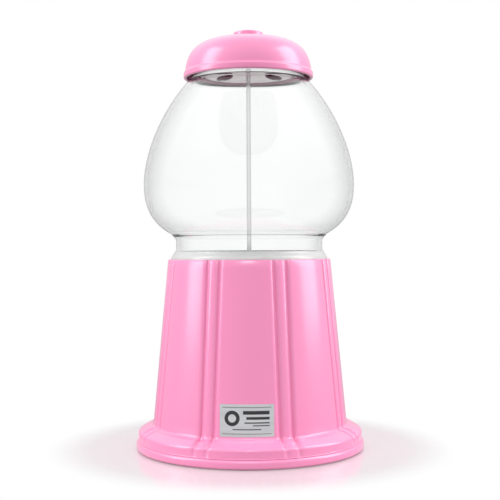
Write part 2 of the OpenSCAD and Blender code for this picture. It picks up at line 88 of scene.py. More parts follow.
WHEEL_Z = SHAFT_Z + 9.8      # underside of the candy wheel
OUTLET_R, OUTLET_ANGLE = 30.0, -30.0     # where the outlet stands, in mm and degrees
GLOBE_R, GLOBE_MID = 96.4, 240.0
COLLAR_R, SEAT_Z = 67.2, 176.0
GLASS = 3.0
GLOBE_TOP, MOUTH_R = 340.0, 50.4
LID_R, LID_Z = 59.6, 338.2
LID_WALL = 2.6
DOME_Z = TOTAL_H - 5.5       # top of the dome, under the boss for the lock
LOCK_R = 9.6                 # hole for the lock in that boss
LINER_Z = 341.2
LINER_POST_R = 44.4          # the posts that carry the lid's plate stand on this circle
POST_R, POST_LOW, POST_TOP = 2.6, LINER_Z + 1.4, LINER_Z + 25.6
POST_SCREW_R = 1.4
LINER_HOLE_R, LINER_HOLES_AT = 8.0, 33.0
ROD_R = 2.1

ROUND = 192                  # mesh steps round a turned piece


# ---------------------------------------------------------------- outlines, as (r, z) in mm
def arc(centre, radius, start, end, steps):
    """Points on an arc, with angles in degrees from the +r direction towards +z."""
    angles = [math.radians(start + (end - start) * i / steps) for i in range(steps + 1)]
    return [(centre[0] + radius * math.cos(a), centre[1] + radius * math.sin(a)) for a in angles]


def bezier(a, b, c, d, steps):
    """Points on a cubic curve from a to d that leaves towards b and arrives from c."""
    out = []
    for i in range(steps + 1):
        t = i / steps
        w = ((1 - t) ** 3, 3 * (1 - t) ** 2 * t, 3 * (1 - t) * t * t, t ** 3)
        out.append(tuple(w[0] * a[k] + w[1] * b[k] + w[2] * c[k] + w[3] * d[k] for k in (0, 1)))
    return out


def line(a, b, steps):
    return [tuple(a[k] + (b[k] - a[k]) * i / steps for k in (0, 1)) for i in range(steps + 1)]


def tidy(points):
    """Drops points that repeat the one before."""
    out = [points[0]]
    for p in points[1:]:
        if math.dist(p, out[-1]) > 0.02:
            out.append(p)
    return out


def normals(points, closed):
    """Unit normals to the right of the direction of travel, which is outwards going up."""
    n = len(points)
    out = []
    for i in range(n):
        a = points[i - 1] if closed or i else points[0]
        b = points[(i + 1) % n] if closed or i < n - 1 else points[-1]
        d = Vector((b[0] - a[0], b[1] - a[1])).normalized()
        out.append((d.y, -d.x))
    return out


def inset(points, d):
    """The outline moved inwards by d."""
    return [(p[0] - d * n[0], p[1] - d * n[1]) for p, n in zip(points, normals(points, False))]


# ---------------------------------------------------------------- mesh helpers
SLIVER = 2e-6                # metres: shorter edges than this are closed up after a cut


def finish_mesh(name, bm, smooth_angle=35):
    bmesh.ops.recalc_face_normals(bm, faces=bm.faces)
    mesh = bpy.data.meshes.new(name)
    bm.to_mesh(mesh)
    bm.free()
    obj = bpy.data.objects.new(name, mesh)
    bpy.context.scene.collection.objects.link(obj)
    smooth(obj, smooth_angle)
    return obj


def smooth(obj, angle=35):
    obj.data.shade_smooth()
    obj.data.set_sharp_from_angle(angle=math.radians(angle))


def apply_modifiers(obj):
    bpy.context.view_layer.update()
    depsgraph = bpy.context.evaluated_depsgraph_get()
    mesh = bpy.data.meshes.new_from_object(obj.evaluated_get(depsgraph))
    obj.modifiers.clear()
    obj.data = mesh
    return obj


def lathe(name, points, closed=True, steps=ROUND, smooth_angle=35):
    """A turned piece from an (r, z) outline in mm. Points on the axis close with a fan."""
    bm = bmesh.new()
    rings = []
    for r, z in points:
        if r < 1e-4:
            rings.append([bm.verts.new((0, 0, z * MM))])
        else:
            rings.append([bm.verts.new((r * MM * math.cos(TAU * i / steps),
                                        r * MM * math.sin(TAU * i / steps), z * MM))
                          for i in range(steps)])
    pairs = list(zip(rings, rings[1:]))
    if closed:
        pairs.append((rings[-1], rings[0]))
    for low, high in pairs:
        bridge(bm, low, high, steps)
    return finish_mesh(name, bm, smooth_angle)


def bridge(bm, low, high, steps):
    """Faces between two rings of points. A ring of one point is a tip."""
    for i in range(steps):
        j = (i + 1) % steps
        if len(low) == 1:
            bm.faces.new((low[0], high[j], high[i]))
        elif len(high) == 1:
            bm.faces.new((low[i], low[j], high[0]))
        else:
            bm.faces.new((low[i], low[j], high[j], high[i]))


def boolean(obj, other, operation):
    """Combines obj with other and deletes other."""
    modifier = obj.modifiers.new("cut", "BOOLEAN")
    modifier.operation = operation
    modifier.solver = "EXACT"
    modifier.object = other
    apply_modifiers(obj)
    bpy.data.objects.remove(other)
    bm = bmesh.new()
    bm.from_mesh(obj.data)
    bmesh.ops.remove_doubles(bm, verts=bm.verts, dist=SLIVER)
    bmesh.ops.dissolve_degenerate(bm, edges=bm.edges, dist=SLIVER)
    bm.to_mesh(obj.data)
    bm.free()
    return obj


def box(name, low, high):
    """A box between two corners in mm."""
    bm = bmesh.new()
    bmesh.ops.create_cube(bm, size=1)
    low, high = Vector(low) * MM, Vector(high) * MM
    for v in bm.verts:
        v.co = Vector(low[k] + (v.co[k] + 0.5) * (high[k] - low[k]) for k in range(3))
    return finish_mesh(name, bm)


def rounded_outline(half, low, high, radius, steps=8):
    """A rectangle with round corners as (x, z) points in mm."""
    corners = [((half - radius, low + radius), -90), ((half - radius, high - radius), 0),
               ((-half + radius, high - radius), 90), ((-half + radius, low + radius), 180)]
    out = []
    for centre, start in corners:
        out += arc(centre, radius, start, start + 90, steps)
    return out


def front_solid(name, outline, y0, y1, bevel, segments):
    """A block seen from the front: an (x, z) outline in mm, from y = -y0 out to y = -y1, with
    the edges of its face rounded."""
    bm = bmesh.new()
    back = [bm.verts.new((x * MM, -y0 * MM, z * MM)) for x, z in outline]
    face = [bm.verts.new((x * MM, -y1 * MM, z * MM)) for x, z in outline]
    bm.faces.new(back)
    bm.faces.new(face[::-1])
    n = len(outline)
    for i in range(n):
        bm.faces.new((back[i], face[i], face[(i + 1) % n], back[(i + 1) % n]))
    bmesh.ops.recalc_face_normals(bm, faces=bm.faces)
    edges = [e for e in bm.edges if all(abs(v.co.y + y1 * MM) < 1e-7 for v in e.verts)]
    bmesh.ops.bevel(bm, geom=edges, offset=bevel * MM, segments=segments, profile=0.5,
                    affect="EDGES", clamp_overlap=True)
    return finish_mesh(name, bm)


def join(name, objects):
    """Joins meshes into one piece. Their materials go with them."""
    bm = bmesh.new()
    materials = []
    for o in objects:
        offset = len(materials)
        materials += [s for s in o.data.materials] or [None]
        start = len(bm.faces)
        bm.from_mesh(o.data)
        bm.faces.ensure_lookup_table()
        for f in bm.faces[start:]:
            f.material_index += offset
    mesh = bpy.data.meshes.new(name)
    bm.to_mesh(mesh)
    bm.free()
    for m in materials:
        mesh.materials.append(m)
    for o in objects:
        bpy.data.objects.remove(o)
    joined = bpy.data.objects.new(name, mesh)
    bpy.context.scene.collection.objects.link(joined)
    return joined


def drill(obj, name, radius, low, high, steps, placing):
    """Cuts an upright round hole between two heights in mm, with its axis where placing says."""
    hole = lathe(name, [(0, low), (radius, low), (radius, high), (0, high)], closed=False,
                 steps=steps)
    hole.data.transform(placing)
    boolean(obj, hole, "DIFFERENCE")


def at(radius, angle):
    """The place at a radius in mm and an angle in radians from the machine's axis."""
    return Matrix.Translation((radius * MM * math.cos(angle), radius * MM * math.sin(angle), 0))


def post_place(k):
    """Where the k-th of the four posts in the lid stands."""
    return Matrix.Rotation(TAU * k / 4, 4, "Z") @ Matrix.Translation((LINER_POST_R * MM, 0, 0))


def place(obj, body, material, node):
    """Moves a piece that was made about the machine's axis to where that axis stands, and puts
    it on its body in the place of its node."""
    obj.data.transform(Matrix.Translation(AXIS))
    obj.data.materials.clear()
    obj.data.materials.append(material)
    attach(obj, body)
    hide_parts(node)
    return obj


# ---------------------------------------------------------------- materials
def new_material(name):
    m = bpy.data.materials.new(name)
    m.use_nodes = True
    nodes = m.node_tree.nodes
    return m, nodes, m.node_tree.links, nodes["Principled BSDF"]


def noise(nodes, links, scale, detail=2.0, stretch=(1, 1, 1)):
    """Noise in the piece's own space, with scale in features a metre."""
    where = nodes.new("ShaderNodeTexCoord")
    mapping = nodes.new("ShaderNodeMapping")
    mapping.inputs["Scale"].default_value = stretch
    texture = nodes.new("ShaderNodeTexNoise")
    texture.inputs["Scale"].default_value = scale
    texture.inputs["Detail"].default_value = detail
    links.new(where.outputs["Object"], mapping.inputs["Vector"])
    links.new(mapping.outputs["Vector"], texture.inputs["Vector"])
    return texture


def ramp(nodes, links, source, low, high, start=0.3, end=0.7):
    """One colour below start, another above end, and a blend between them."""
    node = nodes.new("ShaderNodeValToRGB")
    node.color_ramp.elements[0].position = start
    node.color_ramp.elements[1].position = end
    node.color_ramp.elements[0].color = low
    node.color_ramp.elements[1].color = high
    links.new(source, node.inputs["Fac"])
    return node


def grey(v):
    return (v, v, v, 1)


def bump(nodes, links, source, shader, strength, distance):
    node = nodes.new("ShaderNodeBump")
    node.inputs["Strength"].default_value = strength
    node.inputs["Distance"].default_value = distance
    links.new(source, node.inputs["Height"])
    links.new(node.outputs["Normal"], shader.inputs["Normal"])


ENAMEL_TONES = ((0.820, 0.252, 0.462), (0.838, 0.264, 0.478))


def pink_enamel(name, shade=1.0):
    """Sprayed satin enamel: an even coat with a trace of orange peel. A shade below 1 darkens its
    colour, for painted shade.
    """
    m, nodes, links, shader = new_material(name)
    broad = noise(nodes, links, 9, 3)
    dark, light = ((*[c * shade for c in tone], 1) for tone in ENAMEL_TONES)
    colour = ramp(nodes, links, broad.outputs["Fac"], dark, light, 0.15, 0.85)
    links.new(colour.outputs["Color"], shader.inputs["Base Color"])
    peel = noise(nodes, links, 500, 1)
    bump(nodes, links, peel.outputs["Fac"], shader, 0.02, 0.0002)
    rough = ramp(nodes, links, broad.outputs["Fac"], grey(0.27), grey(0.31), 0.15, 0.85)
    links.new(rough.outputs["Color"], shader.inputs["Roughness"])
    shader.inputs["Coat Weight"].default_value = 0.5
    shader.inputs["Coat Roughness"].default_value = 0.2
    shader.inputs["Specular IOR Level"].default_value = 0.5
    return m


def clear_glass():
    """Clear glass with painted shade edge-on: its colour greys where it is seen at a slant,
    standing in for the darker surround that the edges mirror and bend, and a little for the longer
    way through it.
    """
    m, nodes, links, shader = new_material("clear_glass")
    drift = noise(nodes, links, 14, 1)
    colour = ramp(nodes, links, drift.outputs["Fac"],
                  (0.965, 0.975, 0.972, 1), (0.985, 0.99, 0.988, 1))
    # Painted shade: the colour turns grey where the glass is seen edge-on, for the darker surround
    # its edges mirror and bend.
    edge = nodes.new("ShaderNodeLayerWeight")
    edge.inputs["Blend"].default_value = 0.5
    depth = ramp(nodes, links, edge.outputs["Facing"], grey(1.0), grey(0.62), 0.42, 0.95)
    tint = nodes.new("ShaderNodeMix")
    tint.data_type, tint.blend_type = "RGBA", "MULTIPLY"
    tint.inputs["Factor"].default_value = 1
    links.new(colour.outputs["Color"], tint.inputs[6])
    links.new(depth.outputs["Color"], tint.inputs[7])
    links.new(tint.outputs[2], shader.inputs["Base Color"])
    shader.inputs["Transmission Weight"].default_value = 1
    shader.inputs["Roughness"].default_value = 0.0
    shader.inputs["IOR"].default_value = 1.48
    return m


def polished(name, colour, rough_low, rough_high, scale=45, stretch=(1, 1, 1), grain=0.0):
    """Bright metal with faint handling marks, or a brushed grain where it is stretched."""
    m, nodes, links, shader = new_material(name)
    shader.inputs["Metallic"].default_value = 1
    marks = noise(nodes, links, scale, 3, stretch)
    rough = ramp(nodes, links, marks.outputs["Fac"], grey(rough_low), grey(rough_high))
    links.new(rough.outputs["Color"], shader.inputs["Roughness"])
    tint = ramp(nodes, links, marks.outputs["Fac"], (*[c * 0.96 for c in colour], 1), (*colour, 1))
    links.new(tint.outputs["Color"], shader.inputs["Base Color"])
    if grain:
        bump(nodes, links, marks.outputs["Fac"], shader, grain, 0.0002)
    return m


def moulded(name, colour, roughness, transmission=0.0):
    """Moulded plastic or rubber with a fine texture."""
    m, nodes, links, shader = new_material(name)
    drift = noise(nodes, links, 25, 2)
    shade = ramp(nodes, links, drift.outputs["Fac"], (*[c * 0.94 for c in colour], 1), (*colour, 1))
    links.new(shade.outputs["Color"], shader.inputs["Base Color"])
    fine = noise(nodes, links, 900, 1)
    bump(nodes, links, fine.outputs["Fac"], shader, 0.08, 0.0002)
    shader.inputs["Roughness"].default_value = roughness
    shader.inputs["Transmission Weight"].default_value = transmission
    return m


PINK = pink_enamel("pink_enamel")
# A darker copy of the same enamel: painted shade for the dim hollow inside the lid.
PINK_PAINTED_SHADE = pink_enamel("pink_enamel_painted_shade_inside_lid", 0.6)
GLASS_CLEAR = clear_glass()
CHROME = polished("chrome", (0.88, 0.885, 0.89), 0.07, 0.14)
ROD_METAL = polished("rod_metal", (0.84, 0.84, 0.85), 0.16, 0.24)
# The clear rubber gasket is coloured pink: painted light, for the pink of the lid that shows
# through it.
GASKET_PAINTED_PINK = moulded("lid_gasket_painted_lid_pink", (0.66, 0.30, 0.44), 0.4, transmission=0.2)
SATIN_CHROME = polished("satin_chrome", (0.70, 0.705, 0.72), 0.24, 0.34)
STEEL = polished("steel", (0.60, 0.60, 0.61), 0.22, 0.36, 60, (1, 1, 12), 0.05)
ZINC = polished("zinc", (0.58, 0.59, 0.61), 0.32, 0.48, 120)
BRASS = polished("brass", (0.78, 0.57, 0.25), 0.18, 0.30, 80)
TINPLATE = polished("tinplate", (0.62, 0.585, 0.59), 0.10, 0.2, 70)
FOIL = polished("label_foil", (0.87, 0.885, 0.91), 0.34, 0.42, 30, (1, 1, 14), 0.03)
FROSTED = moulded("frosted_plastic", (0.68, 0.685, 0.68), 0.25, transmission=0.15)
WHITE = moulded("white_plastic", (0.86, 0.85, 0.81), 0.35)
CLEAR_RUBBER = moulded("clear_rubber", (0.96, 0.96, 0.95), 0.3, transmission=0.95)
BLACK_RUBBER = moulded("black_rubber", (0.025, 0.025, 0.026), 0.6)
INK = moulded("label_ink", (0.022, 0.022, 0.024), 0.5)

SLOT_MATERIALS = {
    "pink_paint": PINK, "glass": GLASS_CLEAR, "clear_rubber": CLEAR_RUBBER,
    "frosted_plastic": FROSTED, "white_plastic": WHITE, "black_rubber": BLACK_RUBBER,
    "chrome": CHROME, "steel": STEEL, "zinc": ZINC, "brass": BRASS, "label_foil": FOIL,
}
for part in frame["record"]["subparts"]:
    node = frame["nodes"][part["node"]]
    node.data.materials.clear()
    node.data.materials.append(SLOT_MATERIALS[part["material_slot"]])
    smooth(node, 30)
# The gasket takes the pink colour, painted light from the lid, in place of its clear rubber.
frame["nodes"]["lid_gasket"].data.materials[0] = GASKET_PAINTED_PINK


# ---------------------------------------------------------------- the cast base
def body_r(z):
    """Radius of the casting's tapered side, between its flutes."""
    share = (BODY_TOP[0] - BODY_LOW[0]) * (z - BODY_LOW[1]) / (BODY_TOP[1] - BODY_LOW[1])
    return BODY_LOW[0] + share


def body_outline():
    """The casting's closed outline as (r, z, flute depth): up the outside, down the inside."""
    low_z = BODY_LOW[1] + 0.8
    foot = (arc((FOOT_R - 1.6, RIM_GAP + 1.6), 1.6, -90, 0, 6)
            + arc((FOOT_R - 3.3, TIER_Z - 3.3), 3.3, 0, 74, 14))
    tier = (arc((FOOT_R - 1.3, TIER_Z + 0.9), 0.9, 250, 190, 4)
            + arc((FOOT_R - 5.1, 14.6), 3.2, 0, 66, 16)
            + line((FOOT_R - 4.4, 17.9), (FOOT_R - 10.4, 21.3), 10)
            + arc((body_r(low_z) + 3.4, low_z + 0.1), 3.2, 252, 183, 12))
    side = line((body_r(low_z + 1.2), low_z + 1.2), (BODY_TOP[0] + 0.14, BODY_TOP[1] - 1.5), 24)
    top = arc((BODY_TOP[0] - 1.4, BODY_TOP[1] - 1.4), 1.4, 6, 90, 8)
    inside = [(63.2, BODY_TOP[1]), (63.2, 168), (70, 168), (BODY_LOW[0] - WALL, BODY_LOW[1]),
              (84.5, 17), (92, 10), (97.5, 10), (97.5, RIM_GAP)]
    out = [(p[0], p[1], 0.0) for p in tidy(foot)]
    for p in tidy(tier):
        rise = min(1.0, max(0.0, (p[1] - TIER_Z - 0.3) / 4.5))
        blend = min(1.0, max(0.0, (p[1] - 17) / 7))
        out.append((p[0], p[1], TIER_GROOVE * rise + (FLUTE_DEPTH - TIER_GROOVE) * blend))
    out += [(p[0], p[1], FLUTE_DEPTH) for p in tidy(side + top)]
    out += [(p[0], p[1], 0.0) for p in inside]
    return out


def flute_shape(u):
    """Share of the full depth at u mm from a flute's middle: a broad bead between two grooves."""
    u = abs(u)
    if u >= FLUTE_HALF:
        return 0.0
    edge = BEAD_HALF + GROOVE_W
    if u > edge:                                   # the panel's rounded edge
        t = (FLUTE_HALF - u) / (FLUTE_HALF - edge)
        return 1 - math.sqrt(max(0.0, 1 - t * t)) if t < 0.94 else 0.66 + (t - 0.94) * 5.67
    if u > BEAD_HALF:
        return 1.0
    t = u / BEAD_HALF
    return 1 - 0.92 * math.sqrt(max(0.0, 1 - t ** 2.2))


def make_body():
    outline = body_outline()
    loop = [(r, z) for r, z, _ in outline]
    offs = normals(loop, True)
    # steps across one flute, and below across the panel to the next one
    across = [(FLUTE_HALF + 0.3) * (i / ACROSS_FLUTE)
              for i in range(-ACROSS_FLUTE, ACROSS_FLUTE + 1)]
    bm = bmesh.new()
    rings = []
    for (r, z, depth), n in zip(outline, offs):
        ring = []
        for k in range(FLUTES):
            middle = TAU * (k + 0.5) / FLUTES
            angles = [(middle + u / r, u) for u in across]
            end = angles[-1][0]
            start_next = middle + TAU / FLUTES + across[0] / r
            angles += [(end + (start_next - end) * i / ACROSS_PANEL, None)
                       for i in range(1, ACROSS_PANEL)]
            for a, u in angles:
                d = depth * flute_shape(u) if depth and u is not None else 0.0
                lean = n if z < BODY_LOW[1] else (1, 0)
                rr, zz = r - d * lean[0], z - d * lean[1]
                ring.append(bm.verts.new((rr * MM * math.cos(a), rr * MM * math.sin(a), zz * MM)))
        rings.append(ring)
    count = len(rings[0])
    for low, high in zip(rings, rings[1:] + rings[:1]):
        bridge(bm, low, high, count)
    shell = finish_mesh("body_shell", bm, 32)
    boss = front_solid("boss", rounded_outline(BOSS_X, BOSS_LOW, BOSS_TOP, 5), 62, FACE_Y, 1.6, 4)
    boolean(shell, boss, "UNION")
    for name, low, high in (("hollow", (-30, -83, 47), (30, -40, 147)),
                            ("coin window", (-25, -130, 84), (25, -77, 140)),
                            ("door window", (-15.5, -130, 50), (15.5, -77, 70))):
        boolean(shell, box(name, low, high), "DIFFERENCE")
    smooth(shell, 32)
    shell.name = "cast_base"
    return place(shell, "base", PINK, "body")


# ---------------------------------------------------------------- globe
def globe_outline():
    """The outside of the glass, from the seat up to the mouth."""
    return tidy(
        [(COLLAR_R, SEAT_Z)]
        + line((COLLAR_R, SEAT_Z + 1), (COLLAR_R, 188.6), 6)
        + arc((COLLAR_R + 5.4, 188.6), 5.4, 180, 122, 8)
        + bezier((COLLAR_R + 4.4, 195.4), (90.2, 205.6), (GLOBE_R, 221), (GLOBE_R, GLOBE_MID), 26)
        + bezier((GLOBE_R, GLOBE_MID), (GLOBE_R, 270.7), (79.2, 308.9), (55.9, 335), 34)
        + [(53.6, 337.3), (51.8, 338.8)]
        + arc((MOUTH_R - 1.2, GLOBE_TOP - 1.4), 1.4, 50, 90, 4))


def make_globe():
    outer = globe_outline()
    middle = [p for p in outer if SEAT_Z + 2 < p[1] < GLOBE_TOP - 2.5]
    inner = inset(middle, GLASS)[::-1]
    outline = outer + inner + [(COLLAR_R - GLASS, SEAT_Z)]
    globe = lathe("glass_globe", outline, smooth_angle=50)
    return place(globe, "base", GLASS_CLEAR, "globe")


# ---------------------------------------------------------------- lid
def dome(d, steps):
    """The dome's outline at a depth d below its outside, from the axis to the rim."""
    return bezier((0, DOME_Z - d), (38, DOME_Z - d), (55.1 - d, 371.5 - d / 2),
                  (58.1 - d, 345.5), steps)


def make_lid():
    """A turned dome with a boss for the lock, a rolled bead round its rim and four posts."""
    boss = ([(LOCK_R, TOTAL_H - 0.9), (10.2, TOTAL_H)] + line((10.8, TOTAL_H), (12.2, TOTAL_H), 2)
            + arc((12.2, TOTAL_H - 1.4), 1.4, 90, 0, 5)
            + [(13.65, DOME_Z + 1.9)] + arc((15.6, DOME_Z + 1.6), 1.9, 180, 262, 5))
    skin = [p for p in dome(0, 70) if p[0] > 17]
    bead = ([(58.2, 344.9)] + arc((LID_R - 1.6, LID_Z + 4.4), 1.6, 62, 0, 6)
            + arc((LID_R - 1.5, LID_Z + 1.5), 1.5, 0, -90, 6))
    inside = [(57.2, LID_Z), (56.6, LID_Z + 0.6), (56.6, LID_Z + 3.6), (55.2, 345)]
    roof = dome(LID_WALL, 40)[::-1][1:-8] + [(LOCK_R, DOME_Z - LID_WALL)]
    lid = lathe("lid_dome", tidy(boss + skin + bead + inside + roof), smooth_angle=40)
    for k in range(4):
        post = lathe("post", [(0, POST_LOW), (POST_R, POST_LOW), (POST_R, POST_TOP),
                              (0, POST_TOP)], closed=False, steps=40)
        post.data.transform(post_place(k))
        boolean(lid, post, "UNION")
    smooth(lid, 40)
    place(lid, "lid", PINK, "lid_cap")
    # The lid's inward and downward faces get the darker copy: painted shade inside the lid.
    lid.data.materials.append(PINK_PAINTED_SHADE)
    for face in lid.data.polygons:                 # faces that look down or inwards
        radial = face.center - AXIS
        radial.z = 0
        inwards = face.normal.dot(radial.normalized()) < -0.1 or face.normal.z < -0.2
        if inwards and radial.length < (LID_R - 2.3) * MM:
            face.material_index = 1
    return lid


def make_liner():
    """The bright pressed plate: a flat rim, a rolled step, a shallow cone and four holes."""
    z = LINER_Z
    under = ([(48, z + 0.5), (47.6, z)] + line((46, z), (43, z), 2)
             + arc((41.8, z + 1.0), 1.0, -70, -140, 4)
             + bezier((40.6, z + 0.6), (30, z + 3.4), (20, z + 6.5), (9.6, z + 9.2), 12)
             + [(8.8, z + 9.6), (4, z + 9.6)])
    over = [(4, z + 11), (9.2, z + 11), (41.6, z + 1.5), (48, z + 1.4)]
    liner = lathe("lid_plate", tidy(under + over), smooth_angle=30)
    for k in range(4):
        between_posts = at(LINER_HOLES_AT, TAU * (k + 0.5) / 4)
        drill(liner, "hole", LINER_HOLE_R, z - 4, z + 30, 48, between_posts)
        drill(liner, "hole", POST_SCREW_R, z - 4, z + 30, 24, post_place(k))
    smooth(liner, 30)
    return place(liner, "lid", TINPLATE, "lid_liner")


def make_rod():
    """The plain bar down the middle, with rounded ends."""
    rod = lathe("rod_bar", [(0, 1.8)] + arc((ROD_R - 0.5, 2.3), 0.5, -90, 0, 3)
                + line((ROD_R, 3), (ROD_R, TOTAL_H - 10), 12)
                + arc((ROD_R - 0.6, TOTAL_H - 9.6), 0.6, 0, 90, 3) + [(0, TOTAL_H - 9)],
                closed=False, steps=48)
    return place(rod, "base", ROD_METAL, "center_rod")


def make_hopper():
    """The moulded bowl under the globe, with the outlet's spout let into its floor."""
    floor_z = SHAFT_Z + 3.3
    ledge_z = SHAFT_Z + 5.3
    lip = ([(COLLAR_R + 0.3, 179.2)] + arc((COLLAR_R + 0.85, 179.45), 0.55, 180, 10, 5)
           + bezier((68.5, 179.2), (69.4, 177.2), (70.6, 176.4), (71.5, 174.6), 6)
           + [(71.8, 174.0), (71.8, BODY_TOP[1])])
    outline = lip + [
        (62.8, BODY_TOP[1]), (62.8, 166), (57.5, 150), (57.5, floor_z), (36.6, floor_z),
        (36.6, WHEEL_Z - 4.2), (39, WHEEL_Z - 4.2), (39, WHEEL_Z - 0.5), (43.6, WHEEL_Z - 0.5),
        (43.6, ledge_z), (55, ledge_z), (55, 150), (60, 166), (60.6, 173),
        (62, SEAT_Z - 1), (COLLAR_R + 0.3, SEAT_Z - 1)]
    hopper = lathe("hopper_bowl", tidy(outline), smooth_angle=30)
    for radius, top in ((12.6, 140), (14.7, WHEEL_Z - 1.98)):
        drill(hopper, "outlet", radius, 100, top, 64, at(OUTLET_R, math.radians(OUTLET_ANGLE)))
    boolean(hopper, box("window", (-10.8, -54.4, 105), (10.8, -42.5, WHEEL_Z + 1)), "DIFFERENCE")
    smooth(hopper, 30)
    return place(hopper, "base", FROSTED, "hopper")


# ---------------------------------------------------------------- rear label
LABEL_X, LABEL_LOW, LABEL_TOP = 22.9, 24.8, 51.8
LABEL_CORNER = 0.9
RULE_X, RULES = 20.6, (27.2, 49.0)       # half length and heights of the two thin rules
RULE_H = 0.4
ROUNDEL_X, ROUNDEL_Z = 12.4, 40.2
INK_LAYER = (0.2, 0.33)                  # how far the print's two sides stand off the body
BARS = (                                 # height of the lower edge, width, left end, right end
    (43.4, 3.0, -19.0, 3.2), (39.2, 2.2, -19.0, 0.4), (36.0, 1.0, -19.0, 2.0),
    (33.8, 0.8, -19.0, -5.0), (30.6, 0.8, -12.0, 12.0))


def on_cone(bm, rows, inner, outer, columns):
    """A thin closed patch that lies on the cone of the body. Each row is (z, left x, right x)."""
    layers = []
    for lift in (inner, outer):
        layer = []
        for z, left, right in rows:
            r = body_r(z) + lift
            xs = [left + (right - left) * i / columns for i in range(columns + 1)]
            layer.append([bm.verts.new((x * MM, math.sqrt(r * r - x * x) * MM, z * MM))
                          for x in xs])
        layers.append(layer)
    low, top = layers
    for j in range(len(rows) - 1):
        for i in range(columns):
            for layer in layers:
                bm.faces.new((layer[j][i], layer[j][i + 1], layer[j + 1][i + 1], layer[j + 1][i]))
        for i in (0, columns):
            bm.faces.new((low[j][i], top[j][i], top[j + 1][i], low[j + 1][i]))
    for j in (0, len(rows) - 1):
        for i in range(columns):
            bm.faces.new((low[j][i], top[j][i], top[j][i + 1], low[j][i + 1]))


def disc_rows(x, z, radius, steps=18):
    """A disc as rows for on_cone, with a short flat at its foot and its top."""
    rows = []
    for i in range(steps + 1):
        a = math.radians(-84 + 168 * i / steps)
        half = radius * math.cos(a)
        rows.append((z + radius * math.sin(a), x - half, x + half))
    return rows


def make_label():
    """A silver foil label with plain marks in the place of print: a roundel, rules and bars."""
    foil = bmesh.new()
    corner = [math.radians(90 * i / 5) for i in range(6)]
    ends = [(LABEL_LOW + LABEL_CORNER * (1 - math.cos(a)),
             LABEL_X - LABEL_CORNER * (1 - math.sin(a))) for a in corner]
    rows = [(z, -x, x) for z, x in ends]
    rows += [(LABEL_LOW + LABEL_TOP - z, -x, x) for z, x in ends[::-1]]
    on_cone(foil, rows, 0.12, 0.28, 28)
    foil = finish_mesh("foil", foil)
    foil.data.materials.append(FOIL)
    ink = bmesh.new()
    for z in RULES:
        on_cone(ink, [(z, -RULE_X, RULE_X), (z + RULE_H, -RULE_X, RULE_X)], *INK_LAYER, 28)
    on_cone(ink, disc_rows(ROUNDEL_X, ROUNDEL_Z, 6.4), *INK_LAYER, 12)
    for z, height, left, right in BARS:
        on_cone(ink, [(z, left, right), (z + height, left, right)], *INK_LAYER, 12)
    ink = finish_mesh("ink", ink)
    ink.data.materials.append(INK)
    mark = bmesh.new()
    on_cone(mark, disc_rows(ROUNDEL_X, ROUNDEL_Z, 3.4), 0.3, 0.35, 10)
    mark = finish_mesh("mark", mark)
    mark.data.materials.append(FOIL)
    label = join("label_print", [foil, ink, mark])
    label.data.transform(Matrix.Translation(AXIS))
    smooth(label, 30)
    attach(label, "base")
    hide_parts("rear_label")
    return label


# ---------------------------------------------------------------- hardware with rounded edges
def body_of(name):
    """The body that a node moves with."""
    bodies = frame["record"]["behaviour"]["bodies"]
    return next(body for body, names in bodies.items() if name in names)


def soften(name, width, material=None):
    """The CAD piece again, with its sharp edges rounded as on a casting or a pressing."""
    node = frame["nodes"][name]
    slot = next(p["material_slot"] for p in frame["record"]["subparts"] if p["node"] == name)
    bm = bmesh.new()
    bm.from_mesh(node.data)
    bm.transform(node.matrix_world)
    bmesh.ops.remove_doubles(bm, verts=bm.verts, dist=1e-6)
    bmesh.ops.dissolve_limit(bm, angle_limit=math.radians(1.5), verts=bm.verts, edges=bm.edges)
    sharp = [e for e in bm.edges
             if len(e.link_faces) == 2 and e.calc_face_angle(0) > math.radians(32)]
    bmesh.ops.bevel(bm, geom=sharp, offset=width * MM, segments=3, profile=0.5,
                    affect="EDGES", clamp_overlap=True)
    bmesh.ops.remove_doubles(bm, verts=bm.verts, dist=1e-6)
    piece = finish_mesh(name + "_rounded", bm, 40)
    flat = piece.modifiers.new("flat faces stay flat", "WEIGHTED_NORMAL")
    flat.mode, flat.weight, flat.keep_sharp = "FACE_AREA", 100, True
    apply_modifiers(piece)
    piece.data.materials.append(material or SLOT_MATERIALS[slot])
    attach(piece, body_of(name))
    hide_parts(name)
    return piece


make_body()
GLASS_PIECE = make_globe()
LID_PIECE = make_lid()
make_liner()
make_rod()
make_hopper()
make_label()
soften("coin_plate", 0.8, SATIN_CHROME)
for hardware, rounding in (("coin_handle", 1.1), ("chute_frame", 0.5), ("chute_door", 0.3),
                           ("handle_screw", 0.25), ("mech_screws", 0.25), ("frame_screws", 0.2),
                           ("base_plate", 0.4)):
    soften(hardware, rounding)


# ---------------------------------------------------------------- floor, light and camera
def area_light(name, direction, distance, size, radiance):
    """A softbox that looks at the machine from a direction, as bright as its radiance says."""
    data = bpy.data.lights.new(name, "AREA")
    data.shape = "RECTANGLE"
    data.size, data.size_y = size
    data.energy = radiance * math.pi * size[0] * size[1]
    light = bpy.data.objects.new(name, data)
    bpy.context.scene.collection.objects.link(light)
    aim = AXIS + Vector((0, 0, LIGHT_AIM))
    light.location = aim + Vector(direction).normalized() * distance
    light.rotation_mode = "QUATERNION"
    light.rotation_quaternion = (aim - light.location).to_track_quat("-Z", "Y")
    return light


def spare(lights, *pieces):
    """Keeps these lights off some pieces, so that no hard-edged softbox shows in the glass."""
    spared = bpy.data.collections.new("spared")
    for piece in pieces:
        spared.objects.link(piece)
    for member in spared.collection_objects:
        member.light_linking.link_state = "EXCLUDE"
    for light in lights:
        light.light_linking.receiver_collection = spared


